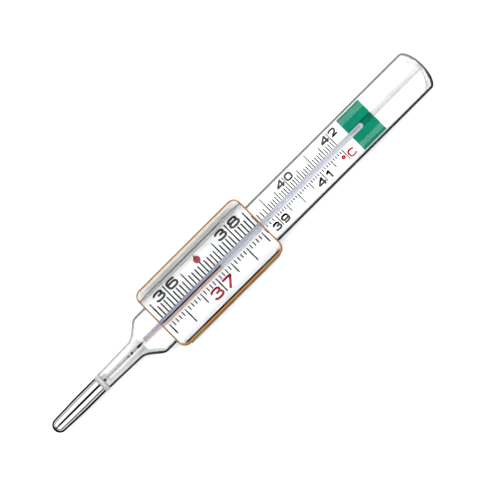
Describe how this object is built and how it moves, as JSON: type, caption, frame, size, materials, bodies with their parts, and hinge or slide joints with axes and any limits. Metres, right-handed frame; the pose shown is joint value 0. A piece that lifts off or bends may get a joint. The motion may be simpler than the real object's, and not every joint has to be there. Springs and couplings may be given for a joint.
{
  "type": "clinical thermometer",
  "caption": "Flat enclosed-scale clinical thermometer: glass body on a round stem and bright bulb, capillary before a white scale plate, and a sliding bar magnifier with an orange rim.",
  "frame": {"origin": "Centre of the bottom of the bounding box: midway between the bulb's tip and the top of the glass, on the flat back that it lies on.", "axes": "X runs along the glass from the bulb to the top, Y across the scale towards the upper numerals, Z out of the scale."},
  "size_m": [0.13, 0.0186, 0.0123],
  "materials": {
    "clear_glass": "fire-polished, clear",
    "capillary_glass": "drawn, clear",
    "liquid_metal": "mirror-bright liquid metal",
    "white_plate": "white, smooth",
    "black_ink": "printed ink",
    "red_ink": "printed ink",
    "green_plastic": "moulded, satin",
    "pale_plastic": "drawn rod, satin",
    "clear_plastic": "polished, clear",
    "orange_plastic": "moulded, gloss"
  },
  "bodies": {
    "thermometer": {"glass_envelope": "clear_glass", "bulb_glass": "clear_glass", "bulb_liquid": "liquid_metal", "seal_bead": "clear_glass", "capillary_tube": "capillary_glass", "neck_thread": "liquid_metal", "liquid_thread": "liquid_metal", "scale_plate": "white_plate", "upper_lines": "black_ink", "lower_lines": "black_ink", "fever_mark": "red_ink", "end_clip": "green_plastic", "end_card": "white_plate", "spacer_rod": "pale_plastic"},
    "column": {"column_tip": "liquid_metal"},
    "magnifier": {"magnifier_lens": "clear_plastic", "magnifier_rim": "orange_plastic", "magnifier_carrier": "clear_plastic"}
  },
  "joints": [
    {"name": "column_rise", "type": "slide", "parent": "thermometer", "child": "column", "axis": [1, 0, 0], "range_m": [-0.01953, 0.04185], "deforming": ["liquid_thread"]},
    {"name": "magnifier_slide", "type": "slide", "parent": "thermometer", "child": "magnifier", "axis": [1, 0, 0], "range_m": [-0.0022, 0.0534]}
  ]
}
